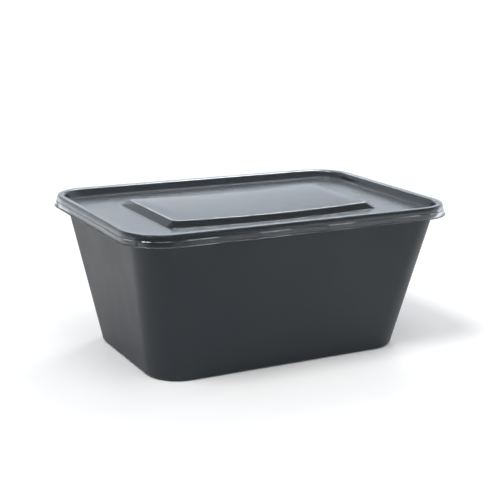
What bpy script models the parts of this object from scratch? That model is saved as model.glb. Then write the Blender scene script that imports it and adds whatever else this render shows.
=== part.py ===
# Rectangular takeaway meal container: a deep tapered tub and the clear lid that snaps over its rim.
# Metres, +Z up, origin at the middle of the face the tub stands on, long sides along X.

import math

import bmesh
import bpy

# Rim. The lid's crest is a rounded rectangle, and every part of the rim follows it at an even distance.
CREST_LENGTH = 0.1662        # between the inner edges of the crest
CREST_WIDTH = 0.1126
CREST_CORNER = 0.0160        # radius of the crest's inner edge at the corners
CREST_HEIGHT = 0.0756        # top of the lid above the table

# Tub
TUB_WALL = 0.0007
BASE_LENGTH = 0.1371
BASE_WIDTH = 0.0862
BASE_CORNER = 0.0170
BASE_EDGE = 0.0020           # rounding between the base and the walls
FOOT_WIDTH = 0.0060          # flat band that the tub stands on
FOOT_HEIGHT = 0.0006         # the middle of the base is raised by this
FOOT_SLOPE = 0.0006
MOUTH_LENGTH = 0.1630        # at the top of the sloping walls
MOUTH_WIDTH = 0.1104
MOUTH_CORNER = 0.0148
LEDGE_HEIGHT = 0.0694        # underside of the ledge that the lid's tray sits over
LEDGE_OUT = 0.0011           # outer face of the upright rim, outside the crest's inner edge
LEDGE_DRAFT = 0.00065        # the upright rim leans outwards by this
FLANGE_OUT = 0.0026          # edge of the tub's flange, outside the crest's inner edge

# Lid
LID_WALL = 0.0005
LID_GAP = 0.0003             # between the lid and the tub where they meet
CREST_BAND = 0.0039          # from the crest's inner edge to its outer edge
CREST_INNER_EDGE = 0.0011    # rounding of the crest towards the tray
CREST_OUTER_EDGE = 0.0014    # rounding of the crest towards the skirt
TRAY_DEPTH = 0.0045          # from the crest down to the recessed tray
TRAY_DRAFT = 0.0010
SKIRT_DRAFT = 0.0003
LIP_HEIGHT = 0.0703          # top of the lip that runs round the skirt's lower edge
LIP_OUT = 0.0051             # edge of the lip, outside the crest's inner edge
PLATEAU_LENGTH = 0.1072      # flat top of the raised panel
PLATEAU_WIDTH = 0.0548
PLATEAU_CORNER = 0.0016
PLATEAU_FOOT_CORNER = 0.0026
PLATEAU_RISE = 0.0031
PLATEAU_SLOPE_X = 0.0039     # run of the chamfer at the panel's ends and sides
PLATEAU_SLOPE_Y = 0.0026
SAG = 0.0013                 # how far the thin tray hangs at its middle

# Snap lugs, raised pads on the skirt above the lip
LUG_LENGTH = 0.0160
LUG_PROUD = 0.0003
LUG_SUNK = 0.0003
LUG_HEIGHT = 0.00305
LUGS_LONG = 4                # on each long side
LUGS_SHORT = 2               # on each short side
LUG_PITCH_LONG = 0.0364
LUG_PITCH_SHORT = 0.0620

# Points round each section
CORNER_STEPS = 8
LONG_STEPS = 6
SHORT_STEPS = 2
EDGE_STEPS = 3

QUARTER_TURN = math.pi / 2
SHARP_ANGLE = math.radians(35)
MERGE_DISTANCE = 0.000001
POLYPROPYLENE_IOR = 1.49


def clear_objects():
    """Empties the scene of its start-up objects."""
    for item in list(bpy.data.objects):
        bpy.data.objects.remove(item, do_unlink=True)


def make_collection(name):
    collection = bpy.data.collections.new(name)
    bpy.context.scene.collection.children.link(collection)
    return collection


def make_material(name, colour, roughness, transmission):
    """Principled material with the plastic's colour, roughness and clearness."""
    material = bpy.data.materials.new(name)
    material.use_nodes = True
    shader = material.node_tree.nodes["Principled BSDF"]
    shader.inputs["Base Color"].default_value = (*colour, 1.0)
    shader.inputs["Roughness"].default_value = roughness
    shader.inputs["Metallic"].default_value = 0.0
    shader.inputs["IOR"].default_value = POLYPROPYLENE_IOR
    shader.inputs["Transmission Weight"].default_value = transmission
    return material


def along(start, end, steps):
    """Evenly spaced points from start up to, but not at, end."""
    return [
        (
            start[0] + (end[0] - start[0]) * i / steps,
            start[1] + (end[1] - start[1]) * i / steps,
        )
        for i in range(steps)
    ]


def section(half_length, half_width, corner, height, sag=None):
    """One rounded rectangle as a loop of points, seen anticlockwise from above.

    The same number of points goes round every section, whatever its size, so any two can be lofted.
    """
    points = []
    sides = (LONG_STEPS, SHORT_STEPS, LONG_STEPS, SHORT_STEPS)
    centres = ((1, -1), (1, 1), (-1, 1), (-1, -1))
    arcs = []
    for quarter, (side_x, side_y) in enumerate(centres):
        centre_x = side_x * (half_length - corner)
        centre_y = side_y * (half_width - corner)
        start = QUARTER_TURN * (quarter - 1)
        arcs.append(
            [
                (
                    centre_x + corner * math.cos(start + QUARTER_TURN * i / CORNER_STEPS),
                    centre_y + corner * math.sin(start + QUARTER_TURN * i / CORNER_STEPS),
                )
                for i in range(CORNER_STEPS + 1)
            ]
        )
    for quarter, steps in enumerate(sides):
        points += along(arcs[quarter - 1][-1], arcs[quarter][0], steps)
        points += arcs[quarter][:-1]
    drop = sag or (lambda x, y: 0.0)
    return [(x, y, height - drop(x, y)) for x, y in points]


def rim_section(out, height):
    """A section at an even distance outside the inner edge of the crest."""
    return section(
        CREST_LENGTH / 2 + out, CREST_WIDTH / 2 + out, CREST_CORNER + out, height
    )


def loft(name, sections, floor_first, material, collection):
    """Open skin through the sections in order, closed by a flat face at its first or at its last section."""
    mesh = bpy.data.meshes.new(name)
    skin = bmesh.new()
    rings = [[skin.verts.new(point) for point in points] for points in sections]
    count = len(rings[0])
    for ring, following in zip(rings, rings[1:]):
        for i in range(count):
            j = (i + 1) % count
            skin.faces.new((ring[i], ring[j], following[j], following[i]))
    skin.faces.new(list(reversed(rings[0])) if floor_first else rings[-1])
    bmesh.ops.remove_doubles(skin, verts=skin.verts, dist=MERGE_DISTANCE)
    bmesh.ops.dissolve_degenerate(skin, edges=skin.edges, dist=MERGE_DISTANCE)
    skin.to_mesh(mesh)
    skin.free()
    mesh.materials.append(material)
    mesh.shade_smooth()
    mesh.set_sharp_from_angle(angle=SHARP_ANGLE)
    item = bpy.data.objects.new(name, mesh)
    collection.objects.link(item)
    return item


def thicken(item, thickness):
    """Gives an open skin its wall, grown behind its faces."""
    wall = item.modifiers.new("wall", "SOLIDIFY")
    wall.thickness = thickness
    wall.offset = -1
    wall.use_even_offset = True
    wall.use_rim = True


def base_section(inset, height):
    """A section at an even distance inside the outline of the base."""
    return section(
        BASE_LENGTH / 2 - inset, BASE_WIDTH / 2 - inset, BASE_CORNER - inset, height
    )


def build_tub(collection):
    """Tapered tub, from its raised base up: foot, rounded edge, sloping walls, ledge, upright rim and flange."""
    foot_inset = BASE_EDGE + FOOT_WIDTH
    flange_underside = CREST_HEIGHT - LID_WALL - LID_GAP - TUB_WALL
    sections = [
        base_section(foot_inset + FOOT_SLOPE, FOOT_HEIGHT),
        base_section(foot_inset, 0.0),
    ]
    for step in range(EDGE_STEPS + 1):
        turn = QUARTER_TURN * step / EDGE_STEPS
        sections.append(
            base_section(BASE_EDGE * (1 - math.sin(turn)), BASE_EDGE * (1 - math.cos(turn)))
        )
    sections += [
        section(MOUTH_LENGTH / 2, MOUTH_WIDTH / 2, MOUTH_CORNER, LEDGE_HEIGHT),
        rim_section(LEDGE_OUT, LEDGE_HEIGHT),
        rim_section(LEDGE_OUT + LEDGE_DRAFT, flange_underside),
        rim_section(FLANGE_OUT, flange_underside),
    ]
    black = make_material("moulded black polypropylene", (0.040, 0.044, 0.048), 0.42, 0.0)
    tub = loft("tub", sections, True, black, collection)
    thicken(tub, TUB_WALL)
    return tub


def tray_sag(x, y):
    """Hang of the thin tray: a parabola between the raised panel's ends, none at the tray's sides."""
    tray_half_width = CREST_WIDTH / 2 - TRAY_DRAFT
    panel_half_width = PLATEAU_WIDTH / 2 + PLATEAU_SLOPE_Y
    panel_half_length = PLATEAU_LENGTH / 2 + PLATEAU_SLOPE_X
    free = (tray_half_width - abs(y)) / (tray_half_width - panel_half_width)
    across = min(1.0, max(0.0, free))
    lengthwise = max(0.0, 1 - (x / panel_half_length) ** 2)
    return SAG * lengthwise * across


def build_lid(collection):
    """Thin clear lid: lip, skirt, rounded crest, recessed tray and the raised panel in its middle."""
    tray_height = CREST_HEIGHT - TRAY_DEPTH
    sections = [
        rim_section(LIP_OUT, LIP_HEIGHT),
        rim_section(CREST_BAND + SKIRT_DRAFT, LIP_HEIGHT),
    ]
    for step in range(EDGE_STEPS + 1):
        turn = QUARTER_TURN * step / EDGE_STEPS
        out = CREST_BAND - CREST_OUTER_EDGE * (1 - math.cos(turn))
        sections.append(rim_section(out, CREST_HEIGHT - CREST_OUTER_EDGE * (1 - math.sin(turn))))
    for step in range(EDGE_STEPS + 1):
        turn = QUARTER_TURN * (1 - step / EDGE_STEPS)
        out = CREST_INNER_EDGE * (1 - math.cos(turn))
        sections.append(rim_section(out, CREST_HEIGHT - CREST_INNER_EDGE * (1 - math.sin(turn))))
    sections.append(rim_section(-TRAY_DRAFT, tray_height))
    panel_length = PLATEAU_LENGTH / 2
    panel_width = PLATEAU_WIDTH / 2
    sections.append(
        section(
            panel_length + PLATEAU_SLOPE_X,
            panel_width + PLATEAU_SLOPE_Y,
            PLATEAU_FOOT_CORNER,
            tray_height,
            tray_sag,
        )
    )
    panel_height = tray_height + PLATEAU_RISE
    sections.append(section(panel_length, panel_width, PLATEAU_CORNER, panel_height, tray_sag))
    sections.append(section(panel_length - panel_width, 0.0, 0.0, panel_height, tray_sag))
    clear = make_material("moulded clear polypropylene", (0.86, 0.88, 0.90), 0.12, 0.95)
    lid = loft("lid", sections, False, clear, collection)
    thicken(lid, LID_WALL)
    return lid


def add_lug(name, x, y, along_x, collection):
    """One lug: a block half sunk in the skirt, its lower edge in the lip."""
    depth = LUG_PROUD + LUG_SUNK
    size = (LUG_LENGTH, depth) if along_x else (depth, LUG_LENGTH)
    bottom = LIP_HEIGHT - LID_WALL / 2
    bpy.ops.mesh.primitive_cube_add(size=1.0, location=(0.0, 0.0, 0.0))
    lug = bpy.context.object
    lug.name = name
    for vertex in lug.data.vertices:
        vertex.co.x = vertex.co.x * size[0] + x
        vertex.co.y = vertex.co.y * size[1] + y
        vertex.co.z = vertex.co.z * LUG_HEIGHT + bottom + LUG_HEIGHT / 2
    for holder in list(lug.users_collection):
        holder.objects.unlink(lug)
    collection.objects.link(lug)
    lug.hide_render = True
    lug.display_type = "WIRE"


def places(count, pitch):
    """Centres of a row of evenly spaced lugs, middle of the row at zero."""
    return [pitch * (i - (count - 1) / 2) for i in range(count)]


def add_lugs(lid, collection):
    """Rows of lugs on all four sides, joined to the skirt."""
    middle = CREST_BAND + SKIRT_DRAFT + (LUG_PROUD - LUG_SUNK) / 2
    out_x = CREST_LENGTH / 2 + middle
    out_y = CREST_WIDTH / 2 + middle
    for side in (-1, 1):
        for i, x in enumerate(places(LUGS_LONG, LUG_PITCH_LONG)):
            add_lug(f"lug_long_{side + 1}_{i}", x, side * out_y, True, collection)
        for i, y in enumerate(places(LUGS_SHORT, LUG_PITCH_SHORT)):
            add_lug(f"lug_short_{side + 1}_{i}", side * out_x, y, False, collection)
    joined = lid.modifiers.new("lugs", "BOOLEAN")
    joined.operation = "UNION"
    joined.solver = "EXACT"
    joined.operand_type = "COLLECTION"
    joined.collection = collection


clear_objects()
container = make_collection("meal container")
lug_blocks = make_collection("lug blocks")
build_tub(container)
add_lugs(build_lid(container), lug_blocks)
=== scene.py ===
# A rectangular takeaway container: black tub, clear lid pressed over its rim, on a white studio floor.
# The container's sizes below are in millimetres, those of the studio and the camera in metres.
import math

import bmesh
import bpy
import numpy as np
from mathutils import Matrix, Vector


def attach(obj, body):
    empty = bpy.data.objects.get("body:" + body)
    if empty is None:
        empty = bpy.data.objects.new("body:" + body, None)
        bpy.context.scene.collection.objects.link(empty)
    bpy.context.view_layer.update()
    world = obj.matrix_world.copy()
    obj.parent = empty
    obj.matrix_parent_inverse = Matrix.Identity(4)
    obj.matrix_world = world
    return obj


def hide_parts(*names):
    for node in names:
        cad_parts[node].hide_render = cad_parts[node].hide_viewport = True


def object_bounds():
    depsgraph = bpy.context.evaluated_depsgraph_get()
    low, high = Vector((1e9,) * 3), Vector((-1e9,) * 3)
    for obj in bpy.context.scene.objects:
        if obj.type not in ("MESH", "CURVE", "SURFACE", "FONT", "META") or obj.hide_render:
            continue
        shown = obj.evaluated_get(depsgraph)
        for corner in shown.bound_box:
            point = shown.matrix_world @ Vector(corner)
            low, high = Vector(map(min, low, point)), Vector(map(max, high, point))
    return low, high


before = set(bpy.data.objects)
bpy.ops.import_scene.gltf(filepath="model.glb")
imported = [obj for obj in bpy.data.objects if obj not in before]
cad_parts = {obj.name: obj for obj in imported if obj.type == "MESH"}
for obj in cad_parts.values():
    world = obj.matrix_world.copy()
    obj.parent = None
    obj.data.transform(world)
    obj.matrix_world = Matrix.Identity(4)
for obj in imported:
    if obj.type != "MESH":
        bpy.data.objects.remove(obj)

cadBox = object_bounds()
mm = 0.001
print("frame loaded:", sorted(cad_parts))


def hexToLinear(hexColour):
    # sRGB hex to linear light: c / 12.92 in the darks, ((c + 0.055) / 1.055) to the power 2.4 above
    srgb = np.array([int(hexColour[i : i + 2], 16) / 255 for i in (1, 3, 5)])
    linear = np.where(srgb <= 0.04045, srgb / 12.92, ((srgb + 0.055) / 1.055) ** 2.4)
    return (*linear.tolist(), 1.0)


def addNode(tree, kind, inputs, **settings):
    # One node with its settings. Each input, by name or number, is linked to a socket or set to a value.
    node = tree.nodes.new(kind)
    for key, value in settings.items():
        setattr(node, key, value)
    for key, value in inputs.items():
        if isinstance(value, bpy.types.NodeSocket):
            tree.links.new(value, node.inputs[key])
        else:
            node.inputs[key].default_value = value
    return node


def smoothStep(value):
    # 3t^2 - 2t^3 between 0 and 1
    t = np.clip(value, 0, 1)
    return t * t * (3 - 2 * t)


def sideColumns(cornerSteps, longPlaces, shortPlaces):
    # Columns of a rounded rectangle, anticlockwise. Each is (cx, cy, nx, ny): the point is
    # c * (half size - radius) + n * radius, so a ring is a rectangle's edge plus a circle's.
    parts = []
    for quarter in range(4):
        facing = math.radians(90 * quarter - 90)
        normal = np.array([math.cos(facing), math.sin(facing)])
        tangent = np.array([-normal[1], normal[0]])
        places = (longPlaces, shortPlaces)[quarter % 2]
        straight = normal + np.outer(places, tangent)
        parts.append(np.c_[straight, np.tile(normal, (len(places), 1))])
        turn = facing + np.linspace(0, math.pi / 2, cornerSteps + 1)
        corner = np.tile(normal + tangent, (cornerSteps + 1, 1))
        parts.append(np.c_[corner, np.cos(turn), np.sin(turn)])
    return np.vstack(parts)


# How finely a profile is cut
smallRadius = 0.3     # arcs up to this radius get half the steps
longStretch = 0.8     # a longer straight stretch gets one more row close to either end, for flat shading
nearEnd = 0.08        # and this is how close


def roundedPath(profile, arcSteps):
    # Rows (half length, half width, corner radius, height) along a profile of (corner, radius, cuts).
    # The corner becomes an arc of that radius, measured in the plane of half length and height, and the
    # straight stretch up to it is cut into that many equal lengths.
    corners = np.array([corner for corner, radius, cuts in profile], float)
    path = [corners[:1]]
    for i in range(1, len(profile) - 1):
        point = corners[i]
        radius = profile[i][1]
        if radius == 0:
            path.append(point[None])
            continue
        back = corners[i - 1] - point
        ahead = corners[i + 1] - point
        back = back / math.hypot(back[0], back[3])
        ahead = ahead / math.hypot(ahead[0], ahead[3])
        half = math.acos(np.clip(back[0] * ahead[0] + back[3] * ahead[3], -1, 1)) / 2
        inward = (back + ahead) / math.hypot(back[0] + ahead[0], back[3] + ahead[3])
        across = (ahead - back) / math.hypot(ahead[0] - back[0], ahead[3] - back[3])
        steps = arcSteps if radius > smallRadius else arcSteps // 2
        sweep = np.linspace(half - math.pi / 2, math.pi / 2 - half, steps + 1)[:, None]
        centre = point + inward * radius / math.sin(half)
        path.append(centre - inward * radius * np.cos(sweep) + across * radius * np.sin(sweep))
    path.append(corners[-1:])
    rows = [path[0]]
    for stretch, entry in zip(path[1:], profile[1:]):
        start = rows[-1][-1]
        share = np.arange(1, entry[2]) / entry[2]
        length = math.hypot(stretch[0][0] - start[0], stretch[0][3] - start[3])
        if length > longStretch:
            share = np.r_[nearEnd / length, share, 1 - nearEnd / length]
        rows.append(start + (stretch[0] - start) * share[:, None])
        rows.append(stretch)
    return np.vstack(rows)


def ringGrid(rows, columns):
    # Point (row, column) = c * (half size - radius) + n * radius, at the row's height
    a, b, r, z = (rows[:, i, None] for i in range(4))
    cx, cy, nx, ny = columns.T[:, None]
    x = cx * (a - r) + nx * r
    y = cy * (b - r) + ny * r
    return np.stack([x, y, np.broadcast_to(z, x.shape)], axis=-1)


def gridNormals(grid):
    # Cross product of the step round the ring and the step along the profile, each a central difference
    around = np.roll(grid, -1, axis=1) - np.roll(grid, 1, axis=1)
    along = np.empty_like(grid)
    along[1:-1] = grid[2:] - grid[:-2]
    along[0] = grid[1] - grid[0]
    along[-1] = grid[-1] - grid[-2]
    normal = np.cross(around, along)
    length = np.linalg.norm(normal, axis=-1, keepdims=True)
    normal = normal / np.maximum(length, 1e-12)
    normal[-1] = normal[-2]
    return normal


def shellMesh(name, grid):
    # Closed wall from one strip of rings that runs along one skin, round the rim and back along the other,
    # and ends at both ends in a ring flattened to a line. Quads join neighbouring rows and columns, and
    # points that meet become one.
    rowCount, columnCount = grid.shape[:2]
    index = np.arange(rowCount * columnCount).reshape(rowCount, columnCount)
    nextColumn = np.roll(index, -1, axis=1)
    quads = np.stack([index[:-1], nextColumn[:-1], nextColumn[1:], index[1:]], axis=-1).reshape(-1, 4)
    mesh = bpy.data.meshes.new(name)
    mesh.vertices.add(grid.size // 3)
    mesh.vertices.foreach_set("co", (grid * mm).astype(np.float32).ravel())
    mesh.loops.add(quads.size)
    mesh.loops.foreach_set("vertex_index", quads.astype(np.int32).ravel())
    mesh.polygons.add(len(quads))
    mesh.polygons.foreach_set("loop_start", np.arange(0, quads.size, 4, dtype=np.int32))
    mesh.update(calc_edges=True)
    work = bmesh.new()
    work.from_mesh(mesh)
    bmesh.ops.remove_doubles(work, verts=work.verts, dist=0.0005 * mm)
    work.to_mesh(mesh)
    work.free()
    mesh.shade_smooth()
    piece = bpy.data.objects.new(name, mesh)
    bpy.context.scene.collection.objects.link(piece)
    print(name, "has", len(mesh.loops) - 2 * len(mesh.polygons), "triangles")
    return piece


# The inner edge of the lid's crest. The tub's rim and the lid's skirt run round it at even distances.
rim = {
    "halfLength": 83.1,
    "halfWidth": 56.3,
    "corner": 16.0,
    "top": cadBox[1].z / mm,
}


def rimRow(out, height):
    # That edge's outline moved out by this much, at this height
    return (rim["halfLength"] + out, rim["halfWidth"] + out, rim["corner"] + out, height)


# Tub
tub = {
    "wall": 0.7,
    "base": (68.55, 43.1, 17.0),     # half length, half width and corner radius at the foot of the walls
    "mouth": (81.5, 55.2, 14.8),     # the same at the top of the sloping walls
    "edge": 2.0,                     # rounding between base and walls
    "foot": 6.0,                     # flat band that it stands on
    "raised": 0.6,                   # rise of the base inside that band
    "raisedEdges": (0.8, 0.5),       # rounding at the top and at the foot of that rise
    "ledge": 69.4,                   # height of the ledge above the sloping walls
    "ledgeEdges": (0.5, 0.8),        # rounding at its inner and outer edges
    "uprightOut": 1.1,
    "uprightDraft": 0.65,
    "flangeOut": 2.6,
    "flangeEdges": (0.3, 0.2),       # rounding at the flange's inner and outer edges
    "flangeGap": 0.3,                # air between the flange and the lid
    "columns": 25,                   # along a long side, half as many along a short one
    "cornerSteps": 20,
    "arcSteps": 6,
}
lidWall = 0.5


def baseRow(inset, height):
    # The base's outline moved in by this much, at this height
    a, b, r = tub["base"]
    return (a - inset, b - inset, r - inset, height)


def tubRows():
    # Outer profile from the middle of the base out, up the wall, over the ledge and out to the flange's edge
    a, b, r = tub["base"]
    footInset = tub["edge"] + tub["foot"]
    under = rim["top"] - lidWall - tub["flangeGap"] - tub["wall"]
    profile = [
        ((a - b, 0, 0, tub["raised"]), 0, 0),
        (baseRow(footInset + tub["raised"], tub["raised"]), tub["raisedEdges"][0], 10),
        (baseRow(footInset, 0), tub["raisedEdges"][1], 1),
        (baseRow(0, 0), tub["edge"], 3),
        ((*tub["mouth"], tub["ledge"]), tub["ledgeEdges"][0], 26),
        (rimRow(tub["uprightOut"], tub["ledge"]), tub["ledgeEdges"][1], 2),
        (rimRow(tub["uprightOut"] + tub["uprightDraft"], under), tub["flangeEdges"][0], 6),
        (rimRow(tub["flangeOut"], under), tub["flangeEdges"][1], 2),
        (rimRow(tub["flangeOut"], under + tub["wall"]), 0, 2),
    ]
    return roundedPath(profile, tub["arcSteps"])


def makeTub():
    # The inner skin is the outer one moved in by the wall along its normals, up to the flange's top
    places = np.linspace(-1, 1, tub["columns"] + 2)[1:-1]
    columns = sideColumns(tub["cornerSteps"], places, places[::2])
    rows = tubRows()
    outer = ringGrid(rows, columns)
    depth = np.full(len(rows), tub["wall"])
    depth[-1] = 0
    inner = outer - gridNormals(outer) * depth[:, None, None]
    inner[..., 2] = np.minimum(inner[..., 2], rows[-1, 3])
    return shellMesh("tubBody", np.concatenate([outer, inner[::-1]]))


print("stage: tub")
tubBody = makeTub()
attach(tubBody, "root")
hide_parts("tub")


# Lid
lid = {
    "crestBand": 3.9,                # how far outside the crest's inner edge its side has its foot
    "crestFlare": 0.7,               # how far that side leans out on its way down
    "crestFall": 1.2,                # height of that side
    "crestFoot": 1.2,                # rounding between it and the skirt
    "innerEdge": 1.5,                # rounding of the crest towards the tray
    "outerEdge": 0.4,                # rounding of the crest towards the skirt
    "tray": 4.5,                     # depth of the recessed tray below the crest
    "trayDraft": 1.0,
    "trayEdge": 1.3,                 # rounding between the tray's walls and its floor
    "skirtOut": 4.04,                # lower part of the skirt, below its small step
    "skirtFoot": 0.12,               # rounding between skirt and lip
    "step": 72.45,                   # height of the step's foot
    "stepIn": 0.12,
    "stepRise": 0.38,
    "stepNear": 0.03,                # rows this close to either end of the step keep it crisp
    "lip": 70.3,                     # height of the lip's top
    "lipOut": 5.1,
    "lipThick": 0.25,
    "lipRound": 0.05,                # rounding of the lip's edge
    "panel": (54.4, 27.4, 1.6),      # half length, half width and corner radius of the raised panel's top
    "panelSlope": (3.9, 2.6),        # run of its slopes at its ends and along its sides
    "panelFoot": 2.6,                # corner radius at the foot of its slopes
    "panelFootEdge": 0.5,            # rounding between the tray's floor and the slopes
    "panelRise": 3.1,
    "panelEdge": 0.3,                # rounding between the slopes and the bevel
    "bevel": 0.55,                   # narrow bevel round the panel's top
    "bevelDrop": 0.2,
    "bevelEdge": 0.6,                # rounding between the bevel and the top
    "sag": 1.3,                      # hang of the tray's floor and the panel in their middle
    "crown": 0.45,                   # rise of the panel's top along its middle
    "crownFade": 8.0,                # which fades out over this length at its ends
    "columns": 25,                   # even ones along each side, besides those at the lugs' ends
    "cornerSteps": 24,
    "arcSteps": 8,
}
lugs = {
    "length": 16.0,
    "proud": 0.4,
    "longEnd": 1.0,                  # run of the sloping ends on the long sides
    "shortEnd": 3.0,
    "shortShare": 0.4,               # how far those on the short sides stand out, as a share of the others
    "cornerShare": 0.5,              # the same for the ledge round each corner
    "cornerRun": 0.15,               # which fades out where its normal turns this little
    "long": (-54.6, -18.2, 18.2, 54.6),
    "short": (-31.0, 31.0),
    "endColumns": 9,                 # columns across each sloping end
    "endSpread": 0.55,               # how far they reach to either side, as a share of its run
    "endClear": 0.4,                 # gap between them and the even columns
}


def stepRow(share):
    # A point of the skirt's small step, this share of the way up it
    return rimRow(lid["skirtOut"] - lid["stepIn"] * share, lid["step"] + lid["stepRise"] * share)


def lidRows():
    # Outer profile from the lip's lower edge, up the skirt, over the crest, into the tray and up the panel
    a, b, r = lid["panel"]
    slopeX, slopeY = lid["panelSlope"]
    bevel = lid["bevel"]
    crestTop = rim["top"]
    floor = crestTop - lid["tray"]
    panelTop = floor + lid["panelRise"]
    lipFoot = lid["lip"] - lid["lipThick"]
    skirtOut = lid["skirtOut"]
    stepOut = skirtOut - lid["stepIn"]
    stepTop = lid["step"] + lid["stepRise"]
    profile = [
        (rimRow(lid["lipOut"] - lid["lipRound"], lipFoot), 0, 0),
        (rimRow(lid["lipOut"], lipFoot), lid["lipRound"], 1),
        (rimRow(lid["lipOut"], lid["lip"]), lid["lipRound"], 1),
        (rimRow(skirtOut, lid["lip"]), lid["skirtFoot"], 2),
        (rimRow(skirtOut, lid["step"] - lid["stepNear"]), 0, 4),
        (stepRow(0), 0, 1),
        (stepRow(0.1), 0, 1),
        (stepRow(0.9), 0, 1),
        (stepRow(1), 0, 1),
        (rimRow(stepOut, stepTop + lid["stepNear"]), 0, 1),
        (rimRow(lid["crestBand"], crestTop - lid["crestFall"]), lid["crestFoot"], 1),
        (rimRow(lid["crestBand"] - lid["crestFlare"], crestTop), lid["outerEdge"], 1),
        (rimRow(0, crestTop), lid["innerEdge"], 2),
        (rimRow(-lid["trayDraft"], floor), lid["trayEdge"], 2),
        ((a + slopeX, b + slopeY, lid["panelFoot"], floor), lid["panelFootEdge"], 12),
        ((a, b, r, panelTop - lid["bevelDrop"]), lid["panelEdge"], 3),
        ((a - bevel, b - bevel, r - bevel, panelTop), lid["bevelEdge"], 1),
        ((a - b, 0, 0, panelTop), 0, 14),
    ]
    return roundedPath(profile, lid["arcSteps"])


def lidPlaces(halfStraight, centres, end):
    # Places along one straight side, from -1 to 1: even ones, and a close group across each end of every lug
    even = np.linspace(-1, 1, lid["columns"] + 2)[1:-1] * halfStraight
    ends = np.concatenate([[c - lugs["length"] / 2, c + lugs["length"] / 2] for c in centres])
    reach = lugs["endSpread"] * end
    close = (ends[:, None] + np.linspace(-reach, reach, lugs["endColumns"])).ravel()
    close = close[np.abs(close) < halfStraight]
    clear = np.abs(even[:, None] - ends).min(axis=1) > reach + lugs["endClear"]
    return np.sort(np.concatenate([even[clear], close])) / halfStraight


def lugShape(grid, columns):
    # Share of a lug's full depth at each point: 0 to 1 across its ends or into a corner, times 1 to 0 up the
    # skirt's step
    nx, ny = columns[:, 2], columns[:, 3]
    shape = np.zeros(grid.shape[:2])
    for along, axis, centres, end, share in (
        (nx, 0, lugs["long"], lugs["longEnd"], 1),
        (ny, 1, lugs["short"], lugs["shortEnd"], lugs["shortShare"]),
    ):
        place = grid[..., axis]
        for centre in centres:
            reach = (lugs["length"] / 2 - np.abs(place - centre)) / end + 0.5
            shape = np.where(np.abs(along) < 1e-6, np.maximum(shape, share * smoothStep(reach)), shape)
    corner = smoothStep(np.minimum(np.abs(nx), np.abs(ny)) / lugs["cornerRun"])
    shape = np.maximum(shape, lugs["cornerShare"] * corner)
    rise = np.clip((lid["step"] + lid["stepRise"] - grid[..., 2]) / lid["stepRise"], 0, 1)
    return shape * rise


def traySag(grid):
    # Sag: a parabola between the panel's ends, faded to nothing between the panel's sides and the tray's.
    # Less the crown: a parabola across the panel's top, faded out at its ends.
    halfPanel = lid["panel"][0] + lid["panelSlope"][0]
    sideIn = lid["panel"][1] + lid["panelSlope"][1]
    sideOut = rim["halfWidth"] - lid["trayDraft"]
    lengthwise = np.clip(1 - (grid[..., 0] / halfPanel) ** 2, 0, 1)
    across = np.clip((sideOut - np.abs(grid[..., 1])) / (sideOut - sideIn), 0, 1)
    crown = np.clip(1 - (grid[..., 1] / lid["panel"][1]) ** 2, 0, 1)
    ends = smoothStep((lid["panel"][0] - np.abs(grid[..., 0])) / lid["crownFade"])
    return lid["sag"] * lengthwise * across - lid["crown"] * crown * ends


satinParts = {
    "fade": 0.8,                     # the satin floor fades in over this width along its edges
    "floorRise": 1.0,                # and takes in what lies up to this much above it
    "lipShare": 0.5,
    "lipRise": 0.1,
}


def addSatin(mesh):
    # 1 on the tray's floor, a share of it on the lip, 0 elsewhere. The floor is what lies low enough, inside
    # the tray's walls and outside the panel's foot.
    points = np.empty(len(mesh.vertices) * 3, dtype=np.float32)
    mesh.vertices.foreach_get("co", points)
    x, y, z = np.abs(points.reshape(-1, 3).T / mm)
    wallX = rim["halfLength"] - x
    wallY = rim["halfWidth"] - y
    footX = x - lid["panel"][0] - lid["panelSlope"][0]
    footY = y - lid["panel"][1] - lid["panelSlope"][1]
    inside = np.minimum(np.minimum(wallX, wallY), np.maximum(footX, footY))
    low = z < rim["top"] - lid["tray"] + satinParts["floorRise"]
    onLip = z < lid["lip"] + satinParts["lipRise"]
    share = np.maximum(smoothStep(inside / satinParts["fade"]) * low, satinParts["lipShare"] * onLip)
    mesh.attributes.new("satin", "FLOAT", "POINT").data.foreach_set("value", share.astype(np.float32))


def makeLid():
    # The outer skin is the profile's grid pushed out by the lugs. The inner one is the plain grid moved in
    # by the wall along its normals, thinner at the lip, from where the profile reaches the lip's top.
    straightX = rim["halfLength"] - rim["corner"]
    straightY = rim["halfWidth"] - rim["corner"]
    longPlaces = lidPlaces(straightX, lugs["long"], lugs["longEnd"])
    shortPlaces = lidPlaces(straightY, lugs["short"], lugs["shortEnd"])
    columns = sideColumns(lid["cornerSteps"], longPlaces, shortPlaces)
    rows = lidRows()
    plain = ringGrid(rows, columns)
    plain[..., 2] -= traySag(plain)
    outer = plain.copy()
    out = rows[:, 0] - rim["halfLength"]
    face = lid["skirtOut"] + lugs["proud"]
    depth = np.where(out > lid["crestBand"], np.clip(face - out, 0, lugs["proud"]), 0)
    push = lugShape(plain, columns) * depth[:, None]
    outer[..., 0] += push * columns[:, 2]
    outer[..., 1] += push * columns[:, 3]
    lipEdge = lid["lipOut"] - lid["lipRound"]
    wall = np.interp(out, (lid["skirtOut"], lipEdge), (lidWall, lid["lipThick"]))
    lipTop = np.argmax(rows[:, 3] > lid["lip"] - 0.001)
    inner = (plain - gridNormals(plain) * wall[:, None, None])[lipTop:]
    piece = shellMesh("lidClear", np.concatenate([inner[::-1], outer]))
    addSatin(piece.data)
    return piece


print("stage: lid")
lidClear = makeLid()
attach(lidClear, "root")
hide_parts("lid")


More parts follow.
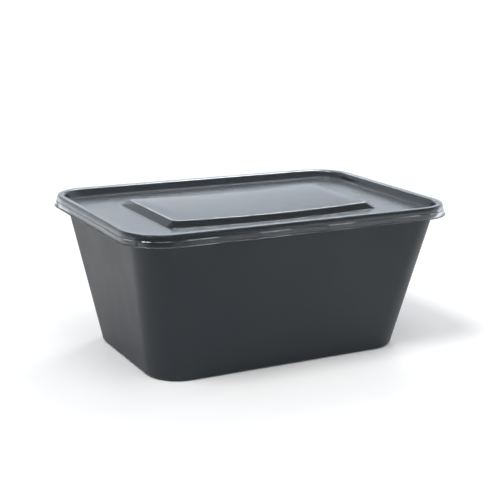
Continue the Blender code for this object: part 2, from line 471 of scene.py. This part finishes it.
# Materials, with the scales of their patterns in millimetres
blackFinish = {
    "dark": "#05111a",
    "light": "#07141d",
    "cloud": 30,                     # from the melt's flow and from handling
    "grain": 0.5,                    # a sparked texture of about 0.05 mm, drawn coarser so that it shows
    "grainDepth": 0.05,
    "roughness": (0.42, 0.5),
}
clearFinish = {
    "tint": "#c8cdd2",
    "wave": 14,                      # shrinkage of the thin sheet
    "waveDepth": 0.2,
    "haze": 4,                       # patches of haze and rubbing
    "roughness": (0.09, 0.12),
    "satinRoughness": 0.2,           # the tray's floor was left satin in the mould
    "satinClear": 0.92,              # where it also scatters a little light
}
polypropyleneIor = 1.49
cloudRange = (0.3, 0.7)              # nearly all values of a noise pattern lie between these
bumpStrength = 0.12


def newMaterial(name):
    # A material with its node tree and its shader
    material = bpy.data.materials.new(name)
    material.use_nodes = True
    tree = material.node_tree
    return material, tree, tree.nodes["Principled BSDF"]


def blackPolypropylene():
    # Polypropylene filled with carbon black, injection moulded against a finely sparked steel cavity:
    # a deep neutral black whose satin skin shows soft, blurred reflections and hardly any colour of its own.
    material, tree, shader = newMaterial("blackPolypropyleneMoulded")
    place = addNode(tree, "ShaderNodeTexCoord", {}).outputs["Object"]
    cloud = addNode(tree, "ShaderNodeTexNoise", {
        "Vector": place, "Scale": 1 / (blackFinish["cloud"] * mm), "Detail": 3.0, "Roughness": 0.55,
    })
    grain = addNode(tree, "ShaderNodeTexNoise", {
        "Vector": place, "Scale": 1 / (blackFinish["grain"] * mm), "Detail": 2.0, "Roughness": 0.6,
    })
    tone = addNode(tree, "ShaderNodeValToRGB", {"Fac": cloud.outputs["Fac"]})
    for stop, position, shade in zip(tone.color_ramp.elements, cloudRange, ("dark", "light")):
        stop.position = position
        stop.color = hexToLinear(blackFinish[shade])
    sheen = addNode(tree, "ShaderNodeMapRange", {
        "Value": cloud.outputs["Fac"], "From Min": cloudRange[0], "From Max": cloudRange[1],
        "To Min": blackFinish["roughness"][0], "To Max": blackFinish["roughness"][1],
    })
    bump = addNode(tree, "ShaderNodeBump", {
        "Height": grain.outputs["Fac"], "Strength": bumpStrength, "Distance": blackFinish["grainDepth"] * mm,
    })
    tree.links.new(tone.outputs["Color"], shader.inputs["Base Color"])
    tree.links.new(sheen.outputs["Result"], shader.inputs["Roughness"])
    tree.links.new(bump.outputs["Normal"], shader.inputs["Normal"])
    shader.inputs["IOR"].default_value = polypropyleneIor
    return material


def clearPolypropylene():
    # Clarified polypropylene, injection moulded thin against polished steel: see-through with a grey-blue
    # cast, mirror bright at low angles, and slightly wavy where the thin sheet shrank as it cooled.
    material, tree, shader = newMaterial("clearPolypropyleneMoulded")
    place = addNode(tree, "ShaderNodeTexCoord", {}).outputs["Object"]
    wave = addNode(tree, "ShaderNodeTexNoise", {
        "Vector": place, "Scale": 1 / (clearFinish["wave"] * mm), "Detail": 1.0, "Roughness": 0.4,
    })
    haze = addNode(tree, "ShaderNodeTexNoise", {
        "Vector": place, "Scale": 1 / (clearFinish["haze"] * mm), "Detail": 4.0, "Roughness": 0.6,
    })
    gloss = addNode(tree, "ShaderNodeMapRange", {
        "Value": haze.outputs["Fac"], "From Min": cloudRange[0], "From Max": cloudRange[1],
        "To Min": clearFinish["roughness"][0], "To Max": clearFinish["roughness"][1],
    })
    satin = addNode(tree, "ShaderNodeAttribute", {}, attribute_name="satin").outputs["Fac"]
    blur = addNode(tree, "ShaderNodeMapRange", {
        "Value": satin, "To Min": gloss.outputs["Result"], "To Max": clearFinish["satinRoughness"],
    })
    milky = addNode(tree, "ShaderNodeMapRange", {
        "Value": satin, "From Min": satinParts["lipShare"],
        "To Min": 1.0, "To Max": clearFinish["satinClear"],
    })
    bump = addNode(tree, "ShaderNodeBump", {
        "Height": wave.outputs["Fac"], "Strength": bumpStrength, "Distance": clearFinish["waveDepth"] * mm,
    })
    tree.links.new(milky.outputs["Result"], shader.inputs["Transmission Weight"])
    tree.links.new(blur.outputs["Result"], shader.inputs["Roughness"])
    tree.links.new(bump.outputs["Normal"], shader.inputs["Normal"])
    shader.inputs["Base Color"].default_value = hexToLinear(clearFinish["tint"])
    shader.inputs["IOR"].default_value = polypropyleneIor
    return material


print("stage: materials")
tubBody.data.materials.append(blackPolypropylene())
lidClear.data.materials.append(clearPolypropylene())


# Studio: a white paper sweep in a dim room, pale sky-blue walls behind it, and five softboxes
studio = {
    "paper": "#f8f6f4",
    "room": "#6a6c6e",
    "walls": "#eef6ff",
    "backdrop": (0.472, 0.882),      # level direction from the camera to the container
    "frontShare": 0.62,              # brightness of the room behind the camera
    "sideFade": (-0.6, 0.3),         # where it gives way to the walls, along the backdrop's direction
    "bandShare": 1.08,               # brightness of the wall a little above the horizon
    "bandFade": (0.0, 0.2),          # where it grows to that, as a height of the line of sight
    "topShare": 0.55,                # brightness overhead
    "topFade": (0.28, 0.5),          # where it falls to that
    "paperFront": 0.26,              # metres of paper before the container
    "paperSize": 20.0,
    "paperHeight": -0.0002,          # just under the container, so that no two faces coincide
    "roomHeight": -0.004,
}
softboxes = {
    # direction towards it, width as seen from the container in degrees, light it gives
    "left": ((-0.5, -0.15, 0.85), 20, 1.6),
    "front": ((0.02, -0.42, 0.9), 34, 0.75),
    "back": ((0.458, 0.499, 0.736), 16, 0.5),
    "top": ((0.45, 0.03, 0.89), 13, 0.15),
    "rear": ((0.195, 0.855, 0.48), 14, 0.15),
}


def makeSheet(name, corners, height, hexColour):
    # A flat four-cornered sheet at one height
    mesh = bpy.data.meshes.new(name)
    mesh.from_pydata([(x, y, height) for x, y in corners], [], [(0, 1, 2, 3)])
    sheet = bpy.data.objects.new(name, mesh)
    bpy.context.scene.collection.objects.link(sheet)
    material, tree, shader = newMaterial(name + "Matte")
    shader.inputs["Base Color"].default_value = hexToLinear(hexColour)
    shader.inputs["Roughness"].default_value = 0.9
    shader.inputs["Specular IOR Level"].default_value = 0.1
    mesh.materials.append(material)


def makeFloor():
    # The paper is a rectangle turned to face the camera, its front edge just out of sight, on a dim floor
    away = np.array(studio["backdrop"])
    right = np.array([away[1], -away[0]])
    size = studio["paperSize"]
    near = -away * studio["paperFront"]
    far = away * size
    side = right * size / 2
    paper = [near - side, near + side, far + side, far - side]
    room = [(-size, -size), (size, -size), (size, size), (-size, size)]
    makeSheet("paperSweep", paper, studio["paperHeight"], studio["paper"])
    makeSheet("roomFloor", room, studio["roomHeight"], studio["room"])


def addFade(tree, value, fade, start, end):
    # From start to end as the value crosses the fade's two ends, with a smooth step
    return addNode(tree, "ShaderNodeMapRange", {
        "Value": value, "From Min": fade[0], "From Max": fade[1], "To Min": start, "To Max": end,
    }, interpolation_type="SMOOTHSTEP").outputs["Result"]


def makeWalls():
    # Brightness in a direction = that of the room's side there, times that of the height there
    world = bpy.data.worlds.new("studioWalls")
    bpy.context.scene.world = world
    world.use_nodes = True
    tree = world.node_tree
    walls = tree.nodes["Background"]
    walls.inputs["Color"].default_value = hexToLinear(studio["walls"])
    direction = addNode(tree, "ShaderNodeTexCoord", {}).outputs["Generated"]
    backdrop = (*studio["backdrop"], 0)
    away = addNode(tree, "ShaderNodeVectorMath", {0: direction, 1: backdrop}, operation="DOT_PRODUCT")
    rise = addNode(tree, "ShaderNodeSeparateXYZ", {"Vector": direction}).outputs["Z"]
    sides = addFade(tree, away.outputs["Value"], studio["sideFade"], studio["frontShare"], 1.0)
    low = addFade(tree, rise, studio["bandFade"], 1.0, studio["bandShare"])
    height = addFade(tree, rise, studio["topFade"], low, studio["topShare"])
    power = addNode(tree, "ShaderNodeMath", {0: sides, 1: height}, operation="MULTIPLY")
    tree.links.new(power.outputs["Value"], walls.inputs["Strength"])


def makeSoftbox(name):
    # Far enough to be a sun with a broad face
    direction, width, strength = softboxes[name]
    light = bpy.data.lights.new(name + "Softbox", "SUN")
    light.angle = math.radians(width)
    light.energy = strength
    lamp = bpy.data.objects.new(name + "Softbox", light)
    lamp.rotation_euler = Vector(direction).to_track_quat("Z", "Y").to_euler()
    bpy.context.scene.collection.objects.link(lamp)


# Camera, from the outlines of lid and tub in the picture: a point to look at, a direction and a distance
camera = {
    "azimuth": -28.19,
    "elevation": 14.06,
    "roll": 0.854,
    "distance": 0.5821,
    "target": (0.0016, 0.0009, 0.04765),
    "lens": 81.36,
}


def makeCamera():
    # The eye stands off the target by the distance, along azimuth and elevation, and is then rolled
    azimuth, elevation, roll = (math.radians(camera[k]) for k in ("azimuth", "elevation", "roll"))
    level = math.cos(elevation)
    back = np.array([math.sin(azimuth) * level, -math.cos(azimuth) * level, math.sin(elevation)])
    right = np.array([math.cos(azimuth), math.sin(azimuth), 0.0])
    up = np.cross(back, right)
    turned = np.array([right, up]) * math.cos(roll) + np.array([up, -right]) * math.sin(roll)
    lens = bpy.data.cameras.new("view")
    lens.lens = camera["lens"]
    lens.sensor_width = 36.0
    lens.clip_start = 0.01
    eye = bpy.data.objects.new("view", lens)
    matrix = np.eye(4)
    matrix[:3, 0], matrix[:3, 1], matrix[:3, 2] = turned[0], turned[1], back
    matrix[:3, 3] = np.array(camera["target"]) + back * camera["distance"]
    bpy.context.scene.collection.objects.link(eye)
    eye.matrix_world = matrix.T.tolist()
    bpy.context.scene.camera = eye


print("stage: studio and camera")
makeFloor()
makeWalls()
for name in softboxes:
    makeSoftbox(name)
makeCamera()
bpy.context.scene.view_settings.view_transform = "Standard"
